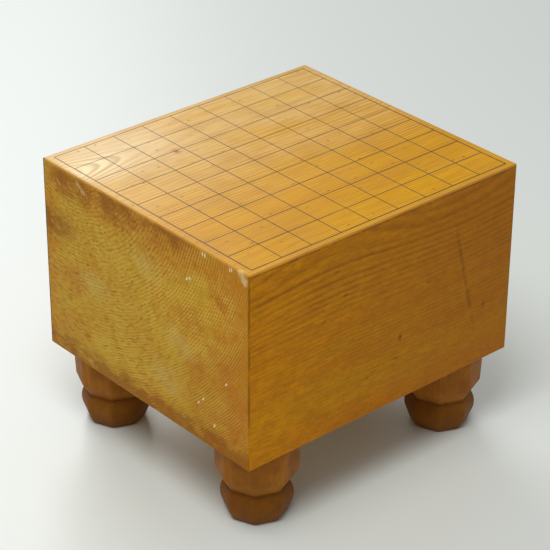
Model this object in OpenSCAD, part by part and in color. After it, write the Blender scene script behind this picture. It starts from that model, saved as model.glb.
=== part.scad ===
// Legged shogi board: one thick block of wood on four carved octagonal legs,
// with a nine by nine grid of lacquer lines on its top.
// The two players sit at -Y and +Y, and the grain of the block runs along Y.
// The origin is on the floor, under the middle of the board.

/* [Block] */
// Width of the block, across the grain
board_w = 333; // [300:1:400]
// Length of the block, along the grain
board_l = 369; // [300:1:450]
// Thickness of the block
board_t = 225; // [120:1:280]
// Radius of the planed edges of the block
edge_r = 2; // [0.5:0.1:5]

/* [Grid] */
// Bare wood between the grid and the long sides of the board
margin_w = 7.9; // [4:0.1:25]
// Bare wood between the grid and the ends of the board
margin_l = 9.9; // [4:0.1:30]
// Number of cells along each side of the grid
cells = 9; // [3:1:19]
// Width of a line inside the grid
line_w = 1; // [0.6:0.1:2]
// Width of the bolder line round the grid
border_w = 1.3; // [0.6:0.1:3]
// Height of a line above the wood
line_rise = 0.12; // [0.05:0.01:0.3]
// Depth of the scored groove that a line lies in
groove_depth = 0.15; // [0.05:0.01:0.5]
// Gap between a line and each side of its groove
line_fit = 0.02; // [0.01:0.01:0.05]

/* [Legs] */
// Height of a leg below the block
leg_h = 92; // [70:1:130]
// Distance from the long side of the block to the nearest corner of a leg
leg_setback_w = 0.8; // [0:0.1:30]
// Distance from the end of the block to the nearest corner of a leg
leg_setback_l = 5; // [0:0.1:30]
// Foot, across its flats
foot_flats = 60; // [48:0.5:72]
// Chamfer round the bottom of the foot
foot_chamfer = 1; // [0.5:0.1:3]
// Swollen part of the leg, across its flats
swell_flats = 72.5; // [68:0.5:84]
// Height of the widest place of the swelling
swell_z = 23; // [21:0.5:28]
// Waist, across its flats
waist_flats = 63.5; // [50:0.5:65]
// Height of the waist
waist_z = 37.5; // [33:0.5:42]
// Lower edge of the collar, across its flats
collar_flats = 82; // [74:0.5:100]
// Height of the lower edge of the collar
collar_z = 53.5; // [50:0.5:65]
// Widening of the collar from its lower edge to the block, across its flats
collar_flare = 3; // [0:0.5:8]

/* [Joints] */
// Side of the square tenon on top of a leg
tenon_side = 32; // [20:1:45]
// Length of the tenon
tenon_l = 34; // [15:1:60]
// Chamfer round the end of the tenon
tenon_chamfer = 3; // [1:0.5:6]
// Gap between the tenon and each wall of its mortise
tenon_fit = 0.1; // [0.05:0.05:0.5]
// Room left beyond the end of the tenon
mortise_room = 2; // [1:0.5:8]

/* [Navel] */
// Side of the square recess under the block, at its mouth
navel_side = 92; // [60:1:110]
// Depth of the recess round its middle
navel_depth = 26; // [18:1:40]
// Width that a side wall of the recess slopes in
navel_slope = 14; // [6:1:25]
// Width of the flat floor between a side wall and the pyramid in the middle
navel_floor = 2; // [1:0.5:6]
// Height of the pyramid
navel_rise = 14; // [5:1:16]

/* [Hidden] */
$fn = 96;
top_z = leg_h + board_t;
grid_w = board_w - 2 * margin_w;
grid_l = board_l - 2 * margin_l;
// An octagon's corner is this much farther out than its flat
corner = 1 / cos(22.5);
collar_top = collar_flats + collar_flare;
leg_x = board_w / 2 - leg_setback_w - collar_top / 2 * corner;
leg_y = board_l / 2 - leg_setback_l - collar_top / 2 * corner;
mortise_side = tenon_side + 2 * tenon_fit;
// Distance that a cutting solid runs past the face it cuts
past = 1;

// The swelling is an arc through its widest place and the waist.
// The foot's straight side meets the arc on a tangent.
swell_in = (swell_flats - waist_flats) / 2;
swell_r = (swell_in * swell_in + pow(waist_z - swell_z, 2)) / (2 * swell_in);
swell_x = swell_flats / 2 - swell_r;
foot_dx = foot_flats / 2 - swell_x;
foot_angle = atan2(-swell_z, foot_dx) + acos(swell_r / norm([foot_dx, swell_z]));
tangent_x = swell_x + swell_r * cos(foot_angle);
tangent_z = swell_z + swell_r * sin(foot_angle);

wood = "#D08A34";
leg_wood = "#8A5228";
lacquer = "#2A1B14";

module rounded_rect(w, h, r) {
    square([w - 2 * r, h], center = true);
    square([w, h - 2 * r], center = true);
    for (x = [-1, 1], y = [-1, 1])
        translate([x * (w / 2 - r), y * (h / 2 - r)]) circle(r);
}

// A solid that has the outline of its child seen along X and along Y
module both_ways(size) {
    intersection() {
        rotate([90, 0, 0]) linear_extrude(size, center = true) children();
        rotate([90, 0, 90]) linear_extrude(size, center = true) children();
    }
}

// The block with every edge rounded off, standing on the underside's plane
module eased_block() {
    translate([0, 0, board_t / 2]) intersection() {
        linear_extrude(board_t, center = true) rounded_rect(board_w, board_l, edge_r);
        rotate([90, 0, 0])
            linear_extrude(board_l, center = true) rounded_rect(board_w, board_t, edge_r);
        rotate([90, 0, 90])
            linear_extrude(board_w, center = true) rounded_rect(board_l, board_t, edge_r);
    }
}

function line_width(i) = (i == 0 || i == cells) ? border_w : line_w;

// Place of line i across a grid of the given size, from its middle
function line_at(i, size) = (i / cells - 0.5) * size;

// Cutting bars for the grooves, wider than the lines by the gap on each side
module grid_grooves() {
    length_w = grid_w + border_w + 2 * line_fit;
    length_l = grid_l + border_w + 2 * line_fit;
    for (i = [0 : cells]) {
        w = line_width(i) + 2 * line_fit;
        translate([line_at(i, grid_w) - w / 2, -length_l / 2, 0])
            cube([w, length_l, groove_depth + past]);
        translate([-length_w / 2, line_at(i, grid_l) - w / 2, 0])
            cube([length_w, w, groove_depth + past]);
    }
}

// Section of a lacquer line: upright in its groove, rounded over above the wood
module line_section(w) {
    crown_r = (w * w / 4 + line_rise * line_rise) / (2 * line_rise);
    translate([-w / 2, 0]) square([w, groove_depth]);
    intersection() {
        translate([0, groove_depth + line_rise - crown_r]) circle(crown_r);
        translate([-w / 2, groove_depth]) square([w, line_rise]);
    }
}

module grid_lines() {
    for (i = [0 : cells]) {
        translate([line_at(i, grid_w), 0, 0]) rotate([90, 0, 0])
            linear_extrude(grid_l + border_w, center = true) line_section(line_width(i));
        translate([0, line_at(i, grid_l), 0]) rotate([90, 0, 90])
            linear_extrude(grid_w + border_w, center = true) line_section(line_width(i));
    }
}

// Recess with sloping walls, and a low pyramid left standing in its middle
module navel() {
    m = navel_side / 2;
    inner = m - navel_slope;
    p = inner - navel_floor;
    difference() {
        both_ways(navel_side + 2 * past)
            polygon([
                [-m, -past], [m, -past], [m, 0], [inner, navel_depth],
                [-inner, navel_depth], [-m, 0]
            ]);
        both_ways(navel_side)
            polygon([
                [-p, navel_depth + past], [-p, navel_depth], [0, navel_depth - navel_rise],
                [p, navel_depth], [p, navel_depth + past]
            ]);
    }
}

module at_legs() {
    for (x = [-1, 1], y = [-1, 1]) translate([x * leg_x, y * leg_y, 0]) children();
}

module mortise() {
    translate([-mortise_side / 2, -mortise_side / 2, -past])
        cube([mortise_side, mortise_side, tenon_l + mortise_room + past]);
}

module board_block() {
    color(wood) translate([0, 0, leg_h]) difference() {
        eased_block();
        translate([0, 0, board_t - groove_depth]) grid_grooves();
        navel();
        at_legs() mortise();
    }
}

module lacquer_grid() {
    color(lacquer) translate([0, 0, top_z - groove_depth]) grid_lines();
}

// Outline of a leg seen square to one of its flats
module leg_outline() {
    foot = foot_flats / 2;
    foot_taper = (tangent_x - foot) / tangent_z;
    right = [
        [foot - foot_chamfer, 0], [foot + foot_chamfer * foot_taper, foot_chamfer],
        [tangent_x, tangent_z], [waist_flats / 2, waist_z],
        [collar_flats / 2, collar_z], [collar_top / 2, leg_h]
    ];
    left = [for (i = [len(right) - 1 : -1 : 0]) [-right[i][0], right[i][1]]];
    polygon(concat(right, left));
    for (side = [0, 1]) mirror([side, 0]) intersection() {
        translate([swell_x, swell_z]) circle(swell_r);
        translate([0, tangent_z]) square([swell_flats, waist_z - tangent_z]);
    }
}

module tenon() {
    h = tenon_side / 2;
    both_ways(tenon_side + 2 * past)
        polygon([
            [-h, -past], [h, -past], [h, tenon_l - tenon_chamfer],
            [h - tenon_chamfer, tenon_l], [-h + tenon_chamfer, tenon_l],
            [-h, tenon_l - tenon_chamfer]
        ]);
}

// A leg is carved on eight flats from one outline. Its corners lie on the board's
// axes and diagonals, and its tenon is square to the board.
module leg(x, y) {
    color(leg_wood) translate([x * leg_x, y * leg_y, 0]) {
        intersection_for (i = [0 : 3])
            rotate([90, 0, 22.5 + 45 * i])
                linear_extrude(2 * collar_top, center = true) leg_outline();
        translate([0, 0, leg_h]) tenon();
    }
}

module leg_front_left() { leg(-1, -1); }
module leg_front_right() { leg(1, -1); }
module leg_back_left() { leg(-1, 1); }
module leg_back_right() { leg(1, 1); }

board_block();
lacquer_grid();
leg_front_left();
leg_front_right();
leg_back_left();
leg_back_right();
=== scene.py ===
"""A legged shogi board: a thick varnished spruce block on four stained octagonal legs."""
import math
import bmesh
import bpy
from mathutils import Matrix, Vector


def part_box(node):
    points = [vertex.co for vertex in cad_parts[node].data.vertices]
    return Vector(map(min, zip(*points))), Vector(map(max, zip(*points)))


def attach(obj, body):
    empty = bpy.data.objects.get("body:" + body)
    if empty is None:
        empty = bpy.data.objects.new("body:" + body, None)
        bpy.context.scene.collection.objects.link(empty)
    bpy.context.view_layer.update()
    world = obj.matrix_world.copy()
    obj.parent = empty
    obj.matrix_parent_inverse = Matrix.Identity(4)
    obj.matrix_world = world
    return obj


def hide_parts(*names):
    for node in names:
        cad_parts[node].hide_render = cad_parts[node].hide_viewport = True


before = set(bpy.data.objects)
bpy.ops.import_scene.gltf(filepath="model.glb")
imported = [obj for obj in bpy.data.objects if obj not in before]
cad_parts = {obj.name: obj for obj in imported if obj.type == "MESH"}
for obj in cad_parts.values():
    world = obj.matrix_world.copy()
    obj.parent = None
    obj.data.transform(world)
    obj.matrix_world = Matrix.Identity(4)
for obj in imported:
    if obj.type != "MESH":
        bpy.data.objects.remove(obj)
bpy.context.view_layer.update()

# The object's sizes are in millimetres, in the frame's axes. The block's are read from its box.
MM = 0.001
PER_METRE = 1000.0
LOW, HIGH = (corner * PER_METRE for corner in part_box("board_block"))
SIDE_X = HIGH.x
END_Y = HIGH.y
UNDER_Z = LOW.z
TOP_Z = HIGH.z

# The block's year rings circle a heart that runs lengthwise, above its left side
HEART = (-119.0, 0.0, TOP_Z + 61.0)

# The leg's outline, as reach from its middle to a flat. An arris is farther out.
FLATS = 8
FLAT_TO_ARRIS = 1 / math.cos(math.pi / FLATS)
FOOT = 30.0
SWELL = 36.25
SWELL_Z = 23.0
WAIST = 31.75
WAIST_Z = 37.5
COLLAR = 41.0
COLLAR_Z = 53.5
COLLAR_TOP = 42.5
ARRIS_ROUNDING = 2.6
TENON_SIDE = 32.0
TENON_L = 34.0


def on_top(*places):
    """Points on the top, given by X and Y."""
    return [(x, y, TOP_Z) for x, y in places]


def on_right(*places):
    """Points on the right side, given by Y and the depth below the top."""
    return [(SIDE_X, y, TOP_Z - deep) for y, deep in places]


def on_front(*places):
    """Points on the front end, given by X and the depth below the top."""
    return [(x, -END_Y, TOP_Z - deep) for x, deep in places]


def turned(x=0.0, y=0.0):
    """A rotation by so many degrees about X and about Y."""
    return math.radians(x), math.radians(y), 0.0


def linear(hex_colour):
    """An sRGB hex colour as the linear colour with alpha that a shader takes."""
    channels = [int(hex_colour[i:i + 2], 16) / 255 for i in (1, 3, 5)]
    return [c / 12.92 if c <= 0.04045 else ((c + 0.055) / 1.055) ** 2.4 for c in channels] + [1.0]


def add_node(tree, kind, inputs=None, out=0, **settings):
    """Adds a node, gives it its settings, sets or links its inputs, and returns one output."""
    node = tree.nodes.new(kind)
    for name, value in settings.items():
        setattr(node, name, value)
    for key, value in (inputs or {}).items():
        socket = node.inputs[key]
        if isinstance(value, bpy.types.NodeSocket):
            tree.links.new(value, socket)
        else:
            socket.default_value = value
    return node.outputs[out] if len(node.outputs) else None


def new_material(name):
    """A material with an empty node tree."""
    material = bpy.data.materials.new(name)
    material.use_nodes = True
    material.node_tree.nodes.clear()
    return material, material.node_tree


def finish_material(tree, shader_inputs):
    """Ends a tree with the surface shader."""
    shader = add_node(tree, "ShaderNodeBsdfPrincipled", shader_inputs)
    add_node(tree, "ShaderNodeOutputMaterial", {"Surface": shader})


def millimetres(tree):
    """The place on the object in millimetres, whole and as its parts X, Y and Z."""
    place = add_node(tree, "ShaderNodeTexCoord", out="Object")
    mm = add_node(tree, "ShaderNodeVectorMath", {0: place, "Scale": PER_METRE}, operation="SCALE")
    return mm, add_node(tree, "ShaderNodeSeparateXYZ", {0: mm}).node.outputs


def beyond(tree, value, start, end):
    """0 up to start and 1 from end on, with a smooth step between them."""
    return add_node(tree, "ShaderNodeMapRange", {"Value": value, "From Min": start, "From Max": end},
                    interpolation_type="SMOOTHSTEP")


def patches(tree, mm, scale, size, detail=3.0, low=0.3, high=0.7, rough=0.5):
    """Soft irregular patches from 0 to 1, size millimetres across on an axis where scale is 1."""
    place = add_node(tree, "ShaderNodeMapping", {"Vector": mm, "Scale": scale})
    noise = add_node(tree, "ShaderNodeTexNoise",
                     {"Vector": place, "Scale": 1.0 / size, "Detail": detail, "Roughness": rough})
    return beyond(tree, noise, low, high)


def spots(tree, mm, middles, reach, turn=(0.0, 0.0, 0.0)):
    """Ellipsoids of one shape: 1 in the middle of each, falling to 0 at its reach."""
    strongest = 0.0
    for middle in middles:
        away = add_node(tree, "ShaderNodeMapping",
                        {"Vector": mm, "Location": middle, "Rotation": turn, "Scale": reach},
                        vector_type="TEXTURE")
        away = add_node(tree, "ShaderNodeVectorMath", {0: away}, out="Value", operation="LENGTH")
        near = beyond(tree, away, 1.0, 0.0)
        strongest = add_node(tree, "ShaderNodeMath", {0: strongest, 1: near}, operation="MAXIMUM")
    return strongest


def band(tree, value, middle, reach):
    """1 where value is middle, falling to 0 at reach from it on both sides."""
    line = add_node(tree, "ShaderNodeCombineXYZ", {"Z": value})
    return spots(tree, line, [(0.0, 0.0, middle)], (1.0, 1.0, reach))


def ragged(tree, area, noise, start, end):
    """An area whose soft rim is broken up by noise."""
    noise = add_node(tree, "ShaderNodeMath", {0: noise, 1: 0.5}, operation="ADD")
    area = add_node(tree, "ShaderNodeMath", {0: noise, 1: area}, operation="MULTIPLY")
    return beyond(tree, area, start, end)


def tint(tree, share, below, above, strength=1.0):
    """The colour above laid over the colour below, by share times strength."""
    share = add_node(tree, "ShaderNodeMath", {0: share, 1: strength}, operation="MULTIPLY")
    return add_node(tree, "ShaderNodeMix", {0: share, 6: below, 7: above}, out=2, data_type="RGBA")


def ring_radius(tree, mm, from_heart, x, y, deep):
    """The distance from the heart, made uneven as the rings are.

    Every face is cut through the same rings: quarter-sawn stripes on the top, a pointed
    figure under the heart, wide waves high on the right side and arcs on the ends.
    """
    across = add_node(tree, "ShaderNodeVectorMath", {0: from_heart, 1: (1.0, 0.0, 1.0)},
                      operation="MULTIPLY")
    radius = add_node(tree, "ShaderNodeVectorMath", {0: across}, out="Value", operation="LENGTH")
    # Waves of 0.8 mm run along the grain, and grow to 3.6 mm high on the right side
    wave_start = 17.0 - END_Y
    wave_l = 340.0
    sway = add_node(tree, "ShaderNodeMath", {0: y, 1: wave_start}, operation="SUBTRACT")
    sway = add_node(tree, "ShaderNodeMath", {0: sway, 1: 2 * math.pi / wave_l}, operation="MULTIPLY")
    sway = add_node(tree, "ShaderNodeMath", {0: sway}, operation="SINE")
    high = add_node(tree, "ShaderNodeMath", {0: deep, 1: -1 / 50.0}, operation="MULTIPLY")
    high = add_node(tree, "ShaderNodeMath", {0: math.e, 1: high}, operation="POWER")
    outer = beyond(tree, x, 60.0, 150.0)
    high = add_node(tree, "ShaderNodeMath", {0: high, 1: outer}, operation="MULTIPLY")
    reach = add_node(tree, "ShaderNodeMath", {0: high, 1: 2.8, 2: 0.8}, operation="MULTIPLY_ADD")
    radius = add_node(tree, "ShaderNodeMath", {0: sway, 1: reach, 2: radius}, operation="MULTIPLY_ADD")
    # Rings wander by 6 mm over the width, and by 1.3 mm from one to the next
    along = (1.0, 0.12, 1.0)
    slow = patches(tree, mm, along, 62.0, detail=2.0, low=0.0, high=1.0)
    quick = patches(tree, mm, along, 11.0, low=0.0, high=1.0)
    radius = add_node(tree, "ShaderNodeMath", {0: slow, 1: 6.0, 2: radius}, operation="MULTIPLY_ADD")
    # The scraper has smeared them 3 mm more in the skin of the ends, on the heart's side
    skin = add_node(tree, "ShaderNodeMath", {0: y}, operation="ABSOLUTE")
    skin = beyond(tree, skin, END_Y - 6.0, END_Y - 1.0)
    left = beyond(tree, x, 40.0, -70.0)
    skin = add_node(tree, "ShaderNodeMath", {0: skin, 1: left}, operation="MULTIPLY")
    smear = add_node(tree, "ShaderNodeMath", {0: skin, 1: 3.0, 2: 1.3}, operation="MULTIPLY_ADD")
    return add_node(tree, "ShaderNodeMath", {0: quick, 1: smear, 2: radius}, operation="MULTIPLY_ADD")


def ring_count(tree, radius, x, y, deep):
    """How many rings lie inside a place: 4.7 mm apart near the heart, 2.7 mm apart far from it."""
    per_mm = add_node(tree, "ShaderNodeMath", {0: radius, 1: 0.00035, 2: 0.1255},
                      operation="MULTIPLY_ADD")
    rings = add_node(tree, "ShaderNodeMath", {0: radius, 1: per_mm}, operation="MULTIPLY")
    # Under the heart the rings dip, most at the front, and the top cuts them into a pointed figure.
    # The dip is 5.65 rings deep, and dies away over 33 mm aside, 96 mm back and 12 mm down.
    figure_x = -117.0
    aside = add_node(tree, "ShaderNodeMath", {0: x, 1: figure_x}, operation="SUBTRACT")
    aside = add_node(tree, "ShaderNodeMath", {0: aside, 1: aside}, operation="MULTIPLY")
    back = add_node(tree, "ShaderNodeMath", {0: y, 1: END_Y}, operation="ADD")
    back = add_node(tree, "ShaderNodeMath", {0: back, 1: 1 / 96.0}, operation="MULTIPLY")
    away = add_node(tree, "ShaderNodeMath", {0: aside, 1: 1 / 1100.0, 2: back},
                    operation="MULTIPLY_ADD")
    away = add_node(tree, "ShaderNodeMath", {0: deep, 1: 1 / 12.0, 2: away}, operation="MULTIPLY_ADD")
    dip = add_node(tree, "ShaderNodeMath", {0: math.exp(-1), 1: away}, operation="POWER")
    return add_node(tree, "ShaderNodeMath", {0: dip, 1: -5.65, 2: rings}, operation="MULTIPLY_ADD")


def late_wood(tree, mm, rings):
    """From 0 to 1 through each ring and back at its end, stronger in some years and places."""
    within = add_node(tree, "ShaderNodeMath", {0: rings}, operation="FRACT")
    late = add_node(tree, "ShaderNodeValToRGB", {"Fac": within})
    ramp = late.node.color_ramp
    ramp.interpolation = "EASE"
    ramp.elements[0].position = 0.2
    ramp.elements[0].color = (0, 0, 0, 1)
    ramp.elements[1].position = 0.82
    ramp.elements[1].color = (1, 1, 1, 1)
    ramp.elements.new(1.0).color = (0, 0, 0, 1)
    year = add_node(tree, "ShaderNodeMath", {0: rings}, operation="FLOOR")
    year = add_node(tree, "ShaderNodeTexWhiteNoise", {"W": year}, noise_dimensions="1D")
    year = add_node(tree, "ShaderNodeMapRange", {"Value": year, "To Min": 0.4, "To Max": 1.0})
    late = add_node(tree, "ShaderNodeMath", {0: late, 1: year}, operation="MULTIPLY")
    faded = patches(tree, mm, (1.0, 0.5, 1.0), 70.0, low=0.3, high=0.65)
    faded = add_node(tree, "ShaderNodeMapRange", {"Value": faded, "To Min": 0.55, "To Max": 1.0})
    return add_node(tree, "ShaderNodeMath", {0: late, 1: faded}, operation="MULTIPLY")


def ring_strokes(tree, mm, from_heart, radius, y):
    """Short wavy strokes that follow the rings, 2 mm wide and about 10 mm long."""
    parts = add_node(tree, "ShaderNodeSeparateXYZ", {0: from_heart}).node.outputs
    usual_radius = 250.0
    arc = add_node(tree, "ShaderNodeMath", {0: parts["X"], 1: parts["Z"]}, operation="ARCTAN2")
    arc = add_node(tree, "ShaderNodeMath", {0: arc, 1: usual_radius}, operation="MULTIPLY")
    woolly = patches(tree, mm, (1.0, 1.0, 1.0), 24.0, low=0.2, high=0.8)
    woolly = add_node(tree, "ShaderNodeMath", {0: woolly, 1: 8.0, 2: radius}, operation="MULTIPLY_ADD")
    ring_place = add_node(tree, "ShaderNodeCombineXYZ", {"X": woolly, "Y": arc, "Z": y})
    return patches(tree, ring_place, (1.0, 0.2, 0.2), 2.2, rough=0.55)


def growth_bands(tree, radius):
    """0 in spells of golden wood and 1 in red-brown ones, by their distance from the heart."""
    nearest = 180.0
    farthest = 420.0
    redness = {200: 0.5, 226: 0.85, 256: 0.4, 326: 0.45, 335: 0.7, 340: 0.25, 350: 0.25, 355: 0.65,
               360: 0.45, 369: 0.05, 384: 0.1, 394: 0.6, 408: 0.9}
    share = add_node(tree, "ShaderNodeMapRange",
                     {"Value": radius, "From Min": nearest, "From Max": farthest})
    bands = add_node(tree, "ShaderNodeValToRGB", {"Fac": share})
    ramp = bands.node.color_ramp
    ramp.interpolation = "EASE"
    ramp.elements.remove(ramp.elements[1])
    ramp.elements[0].color = (0.4, 0.4, 0.4, 1.0)
    for place, red in redness.items():
        ramp.elements.new((place - nearest) / (farthest - nearest)).color = (red, red, red, 1.0)
    return bands


def pitch_flecks(tree, mm):
    """Specks of pitch on the top, about 2 mm across, on some of the cells of a 17 mm net."""
    place = add_node(tree, "ShaderNodeMapping", {"Vector": mm, "Scale": (1.0, 0.6, 1.0)})
    flecks = add_node(tree, "ShaderNodeTexVoronoi", {"Vector": place, "Scale": 1 / 17.0},
                      voronoi_dimensions="2D")
    chance = add_node(tree, "ShaderNodeSeparateColor", {"Color": flecks.node.outputs["Color"]})
    chance = beyond(tree, chance, 0.4, 1.0)
    flecks = beyond(tree, flecks, 0.11, 0.02)
    return add_node(tree, "ShaderNodeMath", {0: flecks, 1: chance}, operation="MULTIPLY")


def top_colour(tree, mm, x, late, fibres, clouds, bands):
    """The planed top: faded pale by sunlight on the left and painted paler there as a sheen of light,
    orange on the right, flecked and striped.
    """
    # Painted sheen: paler towards the left, partly faded wood and partly a painted sheen of the light
    # from the left
    bleach_and_sheen = add_node(tree, "ShaderNodeMapRange", {"Value": x, "From Min": 92.0, "From Max": -134.0})
    bleach_and_sheen = ragged(tree, bleach_and_sheen, clouds, 0.0, 1.1)
    wood = tint(tree, bleach_and_sheen, linear("#DAA404"), linear("#E6CA84"))
    wood = tint(tree, bands, wood, linear("#C67E04"), 0.33)
    wood = tint(tree, clouds, wood, linear("#D89E28"), 0.4)
    dull = patches(tree, mm, (1.0, 0.6, 1.0), 40.0, detail=5.0, low=0.42, high=0.7)
    wood = tint(tree, dull, wood, linear("#BC8A34"), 0.4)
    # The stripes stand out at the back, on the right and in the pointed figure
    striped = beyond(tree, x, -60.0, 70.0)
    striped = add_node(tree, "ShaderNodeMath", {0: striped, 1: 0.5, 2: 0.35}, operation="MULTIPLY_ADD")
    figured = spots(tree, mm, on_top((-5.0, 150.0), (-112.0, -150.0)), (100.0, 95.0, 100.0))
    striped = add_node(tree, "ShaderNodeMath", {0: striped, 1: figured}, operation="MAXIMUM")
    striped = add_node(tree, "ShaderNodeMath", {0: striped, 1: late}, operation="MULTIPLY")
    wood = tint(tree, striped, wood, linear("#9A5E06"), 0.9)
    wood = tint(tree, fibres, wood, linear("#A86A10"), 0.5)
    # The pointed figure is pale between brown arcs
    figure = spots(tree, mm, on_top((-112.0, -160.0)), (44.0, 64.0, 60.0))
    early = add_node(tree, "ShaderNodeMath", {0: 1.0, 1: late}, operation="SUBTRACT")
    early = add_node(tree, "ShaderNodeMath", {0: early, 1: figure}, operation="MULTIPLY")
    wood = tint(tree, early, wood, linear("#F4DCA4"), 0.85)
    # Painted sheen: a pale spot at the front left, partly faded wood and partly a painted reflection of
    # the light from the left
    pale = spots(tree, mm, on_top((-125.0, -120.0)), (80.0, 110.0, 60.0))
    wood = tint(tree, pale, wood, linear("#F4E4C0"), 0.32)
    arcs = add_node(tree, "ShaderNodeMath", {0: figure, 1: late}, operation="MULTIPLY")
    wood = tint(tree, arcs, wood, linear("#A4703A"), 0.6)
    wood = tint(tree, pitch_flecks(tree, mm), wood, linear("#7A4410"), 0.6)
    # One pin knot, with a darker core
    pin_knot = on_top((-86.5, -68.6))
    wood = tint(tree, spots(tree, mm, pin_knot, (11.0, 8.0, 9.0)), wood, linear("#A06420"), 0.6)
    return tint(tree, spots(tree, mm, pin_knot, (4.0, 3.4, 9.0)), wood, linear("#6A3814"), 0.7)


def side_colour(tree, mm, y, deep, late, fibres, clouds, bands):
    """The planed sides, in the full orange of the varnish. The right one has a check and stains."""
    wood = tint(tree, clouds, linear("#F29A04"), linear("#E08A06"))
    wood = tint(tree, bands, linear("#DA9A06"), wood)
    wood = tint(tree, bands, wood, linear("#BC6E0C"), 0.5)
    wood = tint(tree, beyond(tree, y, -90.0, 190.0), wood, linear("#A8600C"), 0.55)
    wood = tint(tree, beyond(tree, y, -60.0, -170.0), wood, linear("#FFA800"), 0.45)
    # Ring lines are strongest high on the side
    high = beyond(tree, deep, 95.0, 25.0)
    high = add_node(tree, "ShaderNodeMath", {0: high, 1: 0.48, 2: 0.38}, operation="MULTIPLY_ADD")
    lines = add_node(tree, "ShaderNodeMath", {0: late, 1: high}, operation="MULTIPLY")
    uneven = patches(tree, mm, (1.0, 0.3, 1.0), 8.0, detail=5.0, low=0.3, high=0.65)
    patchy = add_node(tree, "ShaderNodeMapRange", {"Value": uneven, "To Min": 0.7, "To Max": 1.0})
    lines = add_node(tree, "ShaderNodeMath", {0: lines, 1: patchy}, operation="MULTIPLY")
    wood = tint(tree, uneven, wood, linear("#B06A14"), 0.34)
    streaks = patches(tree, mm, (1.0, 0.4, 1.0), 3.0, detail=4.0, low=0.35, high=0.65, rough=0.7)
    wood = tint(tree, streaks, wood, linear("#804608"), 0.28)
    wood = tint(tree, lines, wood, linear("#743C04"), 0.86)
    wood = tint(tree, fibres, wood, linear("#96540A"), 0.35)
    # The check leans back as it goes down, and has closed to a soft dark line
    check = spots(tree, mm, on_right((113.5, 108.0)), (30.0, 5.0, 132.0), turned(x=14.5))
    check = ragged(tree, check, uneven, 0.15, 1.1)
    wood = tint(tree, check, wood, linear("#6A3A0C"), 0.42)
    stains = spots(tree, mm, on_right((144.5, 154.0), (21.5, 148.0)), (20.0, 5.0, 8.0))
    stains = ragged(tree, stains, uneven, 0.1, 1.1)
    wood = tint(tree, stains, wood, linear("#5A300C"), 0.65)
    dashes = on_right((-69.5, 37.0), (15.5, 171.0), (-24.5, 179.0), (-58.0, 68.0), (60.0, 96.0),
                      (-86.5, 88.0))
    dashes = spots(tree, mm, dashes, (20.0, 6.0, 2.2))
    return tint(tree, dashes, wood, linear("#5A2E0C"), 0.5)


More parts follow.
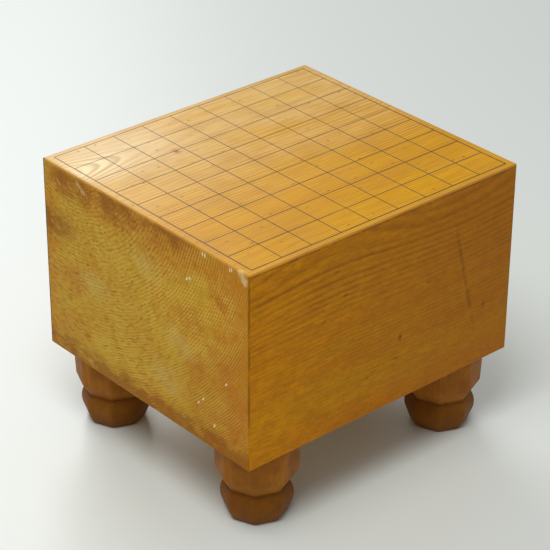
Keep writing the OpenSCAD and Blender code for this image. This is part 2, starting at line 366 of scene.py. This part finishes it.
def end_colour(tree, mm, y, deep, late, strokes):
    """The sawn and scraped ends: a cloudy golden coat, browner at its rim, over fine ring lines."""
    even = (1.0, 1.0, 1.0)
    grain = patches(tree, mm, even, 16.0, detail=5.0, low=0.34, high=0.6, rough=0.62)
    haze = patches(tree, mm, (0.8, 1.0, 1.2), 46.0, detail=5.0, low=0.35, high=0.7)
    mottle = patches(tree, mm, even, 11.0, detail=5.0, rough=0.6)
    blotch = patches(tree, mm, (0.7, 1.0, 1.3), 17.0, detail=6.0, low=0.32, high=0.68, rough=0.68)
    wood = tint(tree, haze, linear("#BE8410"), linear("#C69A22"))
    wood = tint(tree, mottle, wood, linear("#B47808"), 0.4)
    # The back end wears as the front does, seen turned round
    flip = add_node(tree, "ShaderNodeMath", {0: y}, operation="SIGN")
    flip = add_node(tree, "ShaderNodeMath", {0: flip, 1: -1.0}, operation="MULTIPLY")
    as_front = add_node(tree, "ShaderNodeCombineXYZ", {"X": flip, "Y": flip, "Z": 1.0})
    as_front = add_node(tree, "ShaderNodeVectorMath", {0: mm, 1: as_front}, operation="MULTIPLY")
    across = add_node(tree, "ShaderNodeSeparateXYZ", {0: as_front}, out="X")
    # The coat is thicker and more orange near the arrises, most of all at the right and the top
    right = beyond(tree, across, 92.0, 152.0)
    left = beyond(tree, across, -132.0, -164.0)
    rim = add_node(tree, "ShaderNodeMath", {0: right, 1: left}, operation="MAXIMUM")
    rim = add_node(tree, "ShaderNodeMath", {0: rim, 1: beyond(tree, deep, 54.0, 6.0)},
                   operation="MAXIMUM")
    wood = tint(tree, ragged(tree, rim, blotch, 0.0, 0.95), wood, linear("#BC6A00"), 0.75)
    # Amber pools where the coat is thick, and brown where it is thickest, at the top, left and foot
    pools = on_front((33.0, 39.0), (126.0, 114.0), (87.0, 146.0), (76.0, 90.0), (-113.0, 182.0),
                     (-120.0, 128.0), (10.0, 215.0), (120.0, 215.0), (70.0, 16.0), (128.0, 44.0),
                     (150.0, 150.0), (8.0, 20.0), (140.0, 190.0), (98.0, 186.0))
    pools = ragged(tree, spots(tree, as_front, pools, (48.0, 60.0, 36.0)), blotch, 0.05, 1.0)
    wood = tint(tree, pools, wood, linear("#B46600"), 0.75)
    brown = on_front((-115.0, 12.0), (-45.0, 8.0), (-158.0, 70.0), (40.0, 2.0))
    brown = spots(tree, as_front, brown, (70.0, 60.0, 36.0))
    brown = add_node(tree, "ShaderNodeMath", {0: brown, 1: beyond(tree, deep, 186.0, 224.0)},
                     operation="MAXIMUM")
    brown = ragged(tree, brown, blotch, 0.0, 1.05)
    wood = tint(tree, brown, wood, linear("#925408"), 0.85)
    # Rings show as broken fine lines, dark and pale, except where the coat hides them
    scraped = spots(tree, as_front, on_front((66.0, 84.0), (96.0, 64.0)), (118.0, 60.0, 92.0))
    scraped = beyond(tree, scraped, 0.15, 0.85)
    broken = add_node(tree, "ShaderNodeMapRange", {"Value": grain, "To Min": 0.08, "To Max": 1.0})
    lines = add_node(tree, "ShaderNodeMath", {0: late, 1: broken}, operation="MULTIPLY")
    clear = add_node(tree, "ShaderNodeMath", {0: brown, 1: -0.8, 2: 1.0}, operation="MULTIPLY_ADD")
    lines = add_node(tree, "ShaderNodeMath", {0: lines, 1: clear}, operation="MULTIPLY")
    softer = add_node(tree, "ShaderNodeMath", {0: scraped, 1: pools}, operation="MAXIMUM")
    softer = add_node(tree, "ShaderNodeMath", {0: softer, 1: -0.5, 2: 1.0}, operation="MULTIPLY_ADD")
    lines = add_node(tree, "ShaderNodeMath", {0: lines, 1: softer}, operation="MULTIPLY")
    wood = tint(tree, lines, wood, linear("#7C4C06"), 0.5)
    gleam = add_node(tree, "ShaderNodeMath", {0: beyond(tree, late, 0.3, 0.0), 1: broken},
                     operation="MULTIPLY")
    gleam = add_node(tree, "ShaderNodeMath", {0: gleam, 1: clear}, operation="MULTIPLY")
    wood = tint(tree, gleam, wood, linear("#DCB848"), 0.35)
    # Strokes along the rings show most on the left
    brushed = add_node(tree, "ShaderNodeMapRange", {"Value": across, "From Min": 90.0, "From Max": 10.0,
                                                    "To Min": 0.4, "To Max": 1.0})
    pale = add_node(tree, "ShaderNodeMath", {0: clear, 1: brushed}, operation="MULTIPLY")
    pale = add_node(tree, "ShaderNodeMath", {0: strokes, 1: pale}, operation="MULTIPLY")
    wood = tint(tree, pale, wood, linear("#DCBC4C"), 0.38)
    dark = add_node(tree, "ShaderNodeMath", {0: beyond(tree, strokes, 0.3, 0.0), 1: brushed},
                    operation="MULTIPLY")
    wood = tint(tree, dark, wood, linear("#84520A"), 0.3)
    # Scraper marks cross the rings, 12 degrees off level, and are pale, as the early wood is there
    marks_apart = 4.3
    level = add_node(tree, "ShaderNodeMapping", {"Vector": mm, "Rotation": turned(y=12.0)})
    level = add_node(tree, "ShaderNodeSeparateXYZ", {0: level}, out="Z")
    bend = patches(tree, mm, (0.4, 1.0, 1.0), 30.0, detail=2.0, low=0.0, high=1.0)
    marks = add_node(tree, "ShaderNodeMath", {0: bend, 1: 7.0, 2: level}, operation="MULTIPLY_ADD")
    marks = add_node(tree, "ShaderNodeMath", {0: marks, 1: 2 * math.pi / marks_apart},
                     operation="MULTIPLY")
    marks = add_node(tree, "ShaderNodeMath", {0: marks}, operation="SINE")
    marks = beyond(tree, marks, 0.3, 1.0)
    early = beyond(tree, late, 0.1, 0.0)
    marks = add_node(tree, "ShaderNodeMath", {0: marks, 1: early}, operation="MAXIMUM")
    marks = add_node(tree, "ShaderNodeMath", {0: marks, 1: scraped}, operation="MULTIPLY")
    marks = add_node(tree, "ShaderNodeMath", {0: marks, 1: broken}, operation="MULTIPLY")
    wood = tint(tree, marks, wood, linear("#E0B23C"), 0.65)
    # Places rubbed dull and pale, and an edge at the right that hands have kept golden
    dull = on_front((5.0, 57.0), (-81.0, 118.0), (57.0, 123.0), (37.0, 175.0))
    dull = spots(tree, as_front, dull, (50.0, 60.0, 30.0), turned(y=20.0))
    wood = tint(tree, ragged(tree, dull, blotch, 0.15, 1.1), wood, linear("#CCB068"), 0.32)
    handled = spots(tree, as_front, on_front((160.0, 40.0), (164.0, 110.0)), (26.0, 60.0, 70.0))
    handled = ragged(tree, handled, mottle, 0.1, 0.9)
    return tint(tree, handled, wood, linear("#BC7800"), 0.5), lines, marks


def lost_varnish(tree, mm, wood):
    """The varnish chipped, rubbed and scratched off the front end, most along its upper edge."""
    grain = patches(tree, mm, (1.0, 1.0, 0.35), 2.5, detail=4.0)
    rubs = spots(tree, mm, on_front((-104.0, 9.0), (-98.0, 13.0)), (10.0, 6.0, 5.4), turned(y=40.0))
    scores = on_front((-139.0, 18.0), (-119.0, 16.0), (-92.0, 15.0))
    scores = spots(tree, mm, scores, (9.0, 6.0, 1.3), turned(y=48.0))
    scratches = on_front((-153.0, 70.0), (-150.0, 84.0))
    scratches = spots(tree, mm, scratches, (5.5, 6.0, 1.5), turned(y=44.0))
    rubs = add_node(tree, "ShaderNodeMath", {0: rubs, 1: scores}, operation="MAXIMUM")
    rubs = add_node(tree, "ShaderNodeMath", {0: rubs, 1: scratches}, operation="MAXIMUM")
    wood = tint(tree, ragged(tree, rubs, grain, 0.15, 0.7), wood, linear("#D0B070"), 0.6)
    chip = spots(tree, mm, on_front((155.0, 2.5), (160.0, 8.0)), (8.0, 8.0, 11.0), turned(y=-30.0))
    wood = tint(tree, ragged(tree, chip, grain, 0.2, 0.7), wood, linear("#D8BC80"), 0.8)
    nicks = on_front((141.0, 4.0), (138.0, 5.0), (101.0, 5.0), (97.0, 5.0))
    nicks = spots(tree, mm, nicks, (2.0, 6.0, 4.4))
    specks = on_front((72.0, 43.0), (76.5, 41.0), (132.0, 138.0), (96.0, 172.0), (88.0, 180.0),
                      (113.0, 196.0))
    specks = spots(tree, mm, specks, (1.9, 6.0, 4.8), turned(y=35.0))
    nicks = add_node(tree, "ShaderNodeMath", {0: nicks, 1: specks}, operation="MAXIMUM")
    return tint(tree, ragged(tree, nicks, grain, 0.25, 0.6), wood, linear("#F0E2B4"), 0.85)


def upper_arrises(tree, wood, grime, deep, from_side, from_end, on_side):
    """The top's arrises, rubbed pale and painted darker on their rounding as shade, with dirt just
    under them on the sides.
    """
    dirt = add_node(tree, "ShaderNodeMath", {0: band(tree, deep, 3.2, 2.6), 1: on_side},
                    operation="MULTIPLY")
    wood = tint(tree, ragged(tree, dirt, grime, 0.5, 1.3), wood, linear("#6A300A"), 0.45)
    # The rubbed tone is wear, painted darker as the shade on the rounded edge
    rubbed = add_node(tree, "ShaderNodeMath", {0: from_side, 1: from_end}, operation="MINIMUM")
    rubbed = add_node(tree, "ShaderNodeMath", {0: deep, 1: 1.8, 2: rubbed}, operation="MULTIPLY_ADD")
    rubbed = ragged(tree, beyond(tree, rubbed, 5.0, 2.2), grime, 0.0, 1.1)
    return tint(tree, rubbed, wood, linear("#C29044"), 0.55)


def upright_arrises(tree, wood, grime, x, y, deep, from_side, from_end):
    """The upright arrises, brown with dirt. The front left one is painted the darkest."""
    upright = add_node(tree, "ShaderNodeMath", {0: from_side, 1: from_end}, operation="ADD")
    upright = beyond(tree, upright, 2.6, 0.8)
    above_foot = beyond(tree, deep, 228.0, 150.0)
    dirt = add_node(tree, "ShaderNodeMath", {0: upright, 1: above_foot}, operation="MULTIPLY")
    wood = tint(tree, ragged(tree, dirt, grime, 0.15, 1.2), wood, linear("#74440E"), 0.62)
    left = beyond(tree, x, 4.0 - SIDE_X, 1.6 - SIDE_X)
    front = beyond(tree, y, 2.6 - END_Y, 0.8 - END_Y)
    dirt = add_node(tree, "ShaderNodeMath", {0: left, 1: front}, operation="MULTIPLY")
    return tint(tree, ragged(tree, dirt, grime, 0.0, 1.0), wood, linear("#4A3822"), 0.75)


def varnished_spruce():
    """Spruce sawn from beside the heart, planed, varnished amber and worn.

    The sides keep the full orange of the varnish. The top is faded pale by sunlight, rubbed to a soft
    sheen and painted paler on its left as a sheen of light. The ends are scraped end grain under a
    cloudy coat. Every arris is rubbed or stained.
    """
    material, tree = new_material("varnished_spruce")
    mm, parts = millimetres(tree)
    x = parts["X"]
    y = parts["Y"]
    deep = add_node(tree, "ShaderNodeMath", {0: TOP_Z, 1: parts["Z"]}, operation="SUBTRACT")
    from_side = add_node(tree, "ShaderNodeMath", {0: x}, operation="ABSOLUTE")
    from_side = add_node(tree, "ShaderNodeMath", {0: SIDE_X, 1: from_side}, operation="SUBTRACT")
    from_end = add_node(tree, "ShaderNodeMath", {0: y}, operation="ABSOLUTE")
    from_end = add_node(tree, "ShaderNodeMath", {0: END_Y, 1: from_end}, operation="SUBTRACT")
    # The faces' finishes meet on the 2 mm rounding of the block's edges
    on_side = beyond(tree, from_side, 1.6, 0.4)
    on_end = beyond(tree, from_end, 1.6, 0.4)

    from_heart = add_node(tree, "ShaderNodeVectorMath", {0: mm, 1: HEART}, operation="SUBTRACT")
    radius = ring_radius(tree, mm, from_heart, x, y, deep)
    late = late_wood(tree, mm, ring_count(tree, radius, x, y, deep))
    strokes = ring_strokes(tree, mm, from_heart, radius, y)
    bands = growth_bands(tree, radius)
    clouds = patches(tree, mm, (1.0, 0.35, 1.0), 55.0, detail=4.0)
    # Real fibres are finer than a pixel, so these are drawn 1.3 mm wide
    fibres = patches(tree, mm, (1.0, 0.03, 1.0), 1.3, detail=4.0, low=0.25, high=0.75, rough=0.6)

    top = top_colour(tree, mm, x, late, fibres, clouds, bands)
    side = side_colour(tree, mm, y, deep, late, fibres, clouds, bands)
    end, lines, marks = end_colour(tree, mm, y, deep, late, strokes)
    wood = tint(tree, on_side, top, side)
    wood = tint(tree, on_end, wood, end)
    grime = patches(tree, mm, (1.0, 1.0, 0.4), 9.0, detail=4.0, low=0.25, high=0.7)
    wood = upper_arrises(tree, wood, grime, deep, from_side, from_end, on_side)
    wood = lost_varnish(tree, mm, wood)
    wood = upright_arrises(tree, wood, grime, x, y, deep, from_side, from_end)

    # Late wood and fibres stand proud. On the ends the ring lines are sunk and the marks raised.
    height = add_node(tree, "ShaderNodeMath", {0: late, 1: fibres}, operation="ADD")
    cut = add_node(tree, "ShaderNodeMath", {0: lines, 1: marks}, operation="SUBTRACT")
    cut = add_node(tree, "ShaderNodeMath", {0: cut, 1: on_end}, operation="MULTIPLY")
    height = add_node(tree, "ShaderNodeMath", {0: cut, 1: -2.0, 2: height}, operation="MULTIPLY_ADD")
    bump = add_node(tree, "ShaderNodeBump", {"Height": height, "Distance": 0.04 * MM, "Strength": 0.5})
    # The top has the most gloss
    gloss = add_node(tree, "ShaderNodeMapRange", {"Value": clouds, "To Min": 0.28, "To Max": 0.36})
    dulled = add_node(tree, "ShaderNodeMath", {0: on_end, 1: on_side}, operation="MAXIMUM")
    gloss = add_node(tree, "ShaderNodeMath", {0: dulled, 1: 0.12, 2: gloss}, operation="MULTIPLY_ADD")
    finish_material(tree, {"Base Color": wood, "Roughness": gloss, "Normal": bump,
                           "Specular IOR Level": 0.14, "Specular Tint": linear("#F0C060")})
    return material


def stained_leg_wood(name, middle):
    """Softwood stained red-brown and rubbed to a satin, with its grain upright in the leg.

    Its rings and fibres show faintly, and the foot and the swelling are painted darker than the collar,
    as shade.
    """
    material, tree = new_material(name)
    mm, parts = millimetres(tree)
    even = (1.0, 1.0, 1.0)
    rings_apart = 3.4
    heart = (middle.x - 45.0, middle.y + 30.0, 0.0)
    from_heart = add_node(tree, "ShaderNodeVectorMath", {0: mm, 1: heart}, operation="SUBTRACT")
    across = add_node(tree, "ShaderNodeVectorMath", {0: from_heart, 1: (1.0, 1.0, 0.06)},
                      operation="MULTIPLY")
    radius = add_node(tree, "ShaderNodeVectorMath", {0: across}, out="Value", operation="LENGTH")
    wander = patches(tree, across, even, 25.0, low=0.0, high=1.0)
    radius = add_node(tree, "ShaderNodeMath", {0: wander, 1: 6.0, 2: radius}, operation="MULTIPLY_ADD")
    rings = add_node(tree, "ShaderNodeMath", {0: radius, 1: 1 / rings_apart}, operation="MULTIPLY")
    within = add_node(tree, "ShaderNodeMath", {0: rings}, operation="FRACT")
    late = add_node(tree, "ShaderNodeMapRange", {"Value": within, "From Min": 0.3, "To Max": 0.25})
    # Real fibres are finer than a pixel, so these are drawn 1.4 mm wide
    fibres = patches(tree, across, even, 1.4, detail=4.0, low=0.3, high=0.75)
    stain = patches(tree, mm, even, 26.0)
    wood = tint(tree, stain, linear("#B07026"), linear("#94581E"))
    wood = tint(tree, late, wood, linear("#6C3E18"), 0.8)
    # Painted shade: the swelling and the foot are darkened below the collar
    wood = tint(tree, beyond(tree, parts["Z"], 44.0, 30.0), wood, linear("#5E3610"), 0.55)
    wood = tint(tree, fibres, wood, linear("#6E3C10"), 0.3)
    # Painted shade sits in the waist, under the collar
    wood = tint(tree, band(tree, parts["Z"], WAIST_Z, 5.0), wood, linear("#3C1E08"), 0.4)
    bump = add_node(tree, "ShaderNodeBump", {"Height": fibres, "Distance": 0.06 * MM, "Strength": 0.5})
    finish_material(tree, {"Base Color": wood, "Roughness": 0.55, "Normal": bump,
                           "Specular IOR Level": 0.16, "Specular Tint": linear("#F0C070")})
    return material


def drawn_lacquer():
    """Brown-black lacquer, laid as a raised line, rubbed thin in places, and painted paler towards the
    left, partly as wear and partly as a sheen of light.
    """
    material, tree = new_material("drawn_lacquer")
    mm, parts = millimetres(tree)
    rubbed = patches(tree, mm, (1.0, 1.0, 1.0), 14.0, detail=4.0, low=0.4, high=0.8)
    colour = tint(tree, rubbed, linear("#1E0E0C"), linear("#6E4218"), 0.4)
    # Painted paler towards the left: partly rubbed lacquer, partly a painted sheen of the light from
    # the left
    colour = tint(tree, beyond(tree, parts["X"], 20.0, -170.0), colour, linear("#96703C"), 0.5)
    finish_material(tree, {"Base Color": colour, "Roughness": 0.4, "Specular IOR Level": 0.3})
    return material


def leg_outline():
    """Points from the middle of the sole to the middle of the leg's top, as reach and height."""
    swell_in = SWELL - WAIST
    arc_r = (swell_in ** 2 + (WAIST_Z - SWELL_Z) ** 2) / (2 * swell_in)
    arc_middle = SWELL - arc_r
    foot_in = FOOT - arc_middle
    # The foot's straight side meets the swelling's arc on a tangent
    first = math.atan2(-SWELL_Z, foot_in) + math.acos(arc_r / math.hypot(foot_in, SWELL_Z))
    last = math.asin((WAIST_Z - SWELL_Z) / arc_r)
    arc_steps = 8
    # The sole is a hair above the floor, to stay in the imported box. Its edge and the lower edge
    # of the collar are worn round.
    sole_z = 0.001
    points = [(0.0, sole_z), (FOOT - 2.8, sole_z), (FOOT - 0.8, 0.8), (FOOT + 0.6, 2.6)]
    for i in range(arc_steps + 1):
        angle = first + (last - first) * i / arc_steps
        points.append((arc_middle + arc_r * math.cos(angle), SWELL_Z + arc_r * math.sin(angle)))
    points += [(COLLAR - 0.9, COLLAR_Z - 1.5), (COLLAR - 0.15, COLLAR_Z - 0.2)]
    points += [(COLLAR, COLLAR_Z + 1.4), (COLLAR_TOP, UNDER_Z), (0.0, UNDER_Z)]
    return points


def carved_leg(node, middle, material):
    """One leg: its outline turned in eight flats, with the arrises rubbed round, and its tenon."""
    bm = bmesh.new()
    points = [bm.verts.new((middle.x + r * FLAT_TO_ARRIS, middle.y, h)) for r, h in leg_outline()]
    edges = [bm.edges.new(pair) for pair in zip(points, points[1:])]
    bmesh.ops.spin(bm, geom=points + edges, cent=(middle.x, middle.y, 0.0), axis=(0, 0, 1),
                   angle=2 * math.pi, steps=FLATS, use_merge=True)
    bmesh.ops.remove_doubles(bm, verts=bm.verts, dist=0.001)
    # An arris climbs, and turns by 0.2 radians or more from flat to flat
    arrises = [e for e in bm.edges
               if abs(e.verts[0].co.z - e.verts[1].co.z) > 0.01 and e.calc_face_angle(0) > 0.2]
    bmesh.ops.bevel(bm, geom=arrises, offset=ARRIS_ROUNDING, offset_type="OFFSET", segments=4,
                    profile=0.5, affect="EDGES", material=-1, clamp_overlap=True)
    tenon = bmesh.ops.create_cube(bm, size=1.0)["verts"]
    place = Matrix.Translation((middle.x, middle.y, UNDER_Z + TENON_L / 2))
    place = place @ Matrix.Diagonal((TENON_SIDE, TENON_SIDE, TENON_L, 1.0))
    bmesh.ops.transform(bm, matrix=place, verts=tenon)
    bmesh.ops.recalc_face_normals(bm, faces=bm.faces)
    bmesh.ops.scale(bm, vec=(MM, MM, MM), verts=bm.verts)
    for face in bm.faces:
        face.smooth = True
    mesh = bpy.data.meshes.new("carved_" + node)
    bm.to_mesh(mesh)
    bm.free()
    mesh.set_sharp_from_angle(angle=math.radians(32))
    mesh.materials.append(material)
    leg = bpy.data.objects.new("carved_" + node, mesh)
    bpy.context.scene.collection.objects.link(leg)
    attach(leg, "root")
    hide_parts(node)


def dress_nodes():
    """Gives the block and the lines their finishes, and carves a leg in place of each packed one."""
    finishes = {"board_block": varnished_spruce(), "lacquer_grid": drawn_lacquer()}
    for name, finish in finishes.items():
        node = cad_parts[name]
        node.data.materials.clear()
        node.data.materials.append(finish)
    for name in sorted(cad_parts):
        if name.startswith("leg_"):
            low, high = (corner * PER_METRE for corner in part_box(name))
            middle = (low + high) / 2
            carved_leg(name, middle, stained_leg_wood("stained_wood_" + name, middle))


def studio():
    """A pale floor, and soft light from above and from the left."""
    bpy.ops.mesh.primitive_plane_add(size=12)
    floor = bpy.context.object
    floor.name = "floor"
    # Sealed pale flooring, which gives a faint soft reflection
    material, tree = new_material("sealed_pale_flooring")
    finish_material(tree, {"Base Color": linear("#DCE1DC"), "Roughness": 0.4,
                           "Specular IOR Level": 0.5})
    floor.data.materials.append(material)

    world = bpy.data.worlds.new("soft_room")
    bpy.context.scene.world = world
    world.use_nodes = True
    sky = world.node_tree.nodes["Background"].inputs
    sky["Color"].default_value = linear("#F4F6F8")
    sky["Strength"].default_value = 0.38

    # Each lamp's place and width in metres, and its power in watts
    lamps = {
        "ceiling": ((0.5, -0.95, 2.5), 1.3, 43.0),
        "window": ((-3.55, 1.4, 2.22), 2.2, 72.0),
    }
    aim_at = Vector((0.0, 0.0, 0.2))
    for name, (place, width, power) in lamps.items():
        light = bpy.data.lights.new(name, "AREA")
        light.size = width
        light.energy = power
        lamp = bpy.data.objects.new(name, light)
        lamp.location = place
        lamp.rotation_euler = (aim_at - Vector(place)).to_track_quat("-Z", "Y").to_euler()
        bpy.context.scene.collection.objects.link(lamp)


def camera():
    """The photograph's view: from the front right corner, 29.5 degrees above the floor."""
    # The camera's place is in metres, and its angles are in degrees
    place = (1.5451, -1.3639, 1.3445)
    heading, dip, roll = (math.radians(a) for a in (48.672, 29.481, 0.41))
    lens = bpy.data.cameras.new("camera")
    lens.sensor_width = 36.0
    lens.lens = 143.96
    lens.clip_end = 30.0
    turn = Matrix.Rotation(heading, 4, "Z") @ Matrix.Rotation(math.pi / 2 - dip, 4, "X")
    turn = turn @ Matrix.Rotation(roll, 4, "Z")
    eye = bpy.data.objects.new("camera", lens)
    eye.matrix_world = Matrix.Translation(place) @ turn
    bpy.context.scene.collection.objects.link(eye)
    bpy.context.scene.camera = eye


dress_nodes()
studio()
camera()
bpy.context.scene.view_settings.view_transform = "Standard"
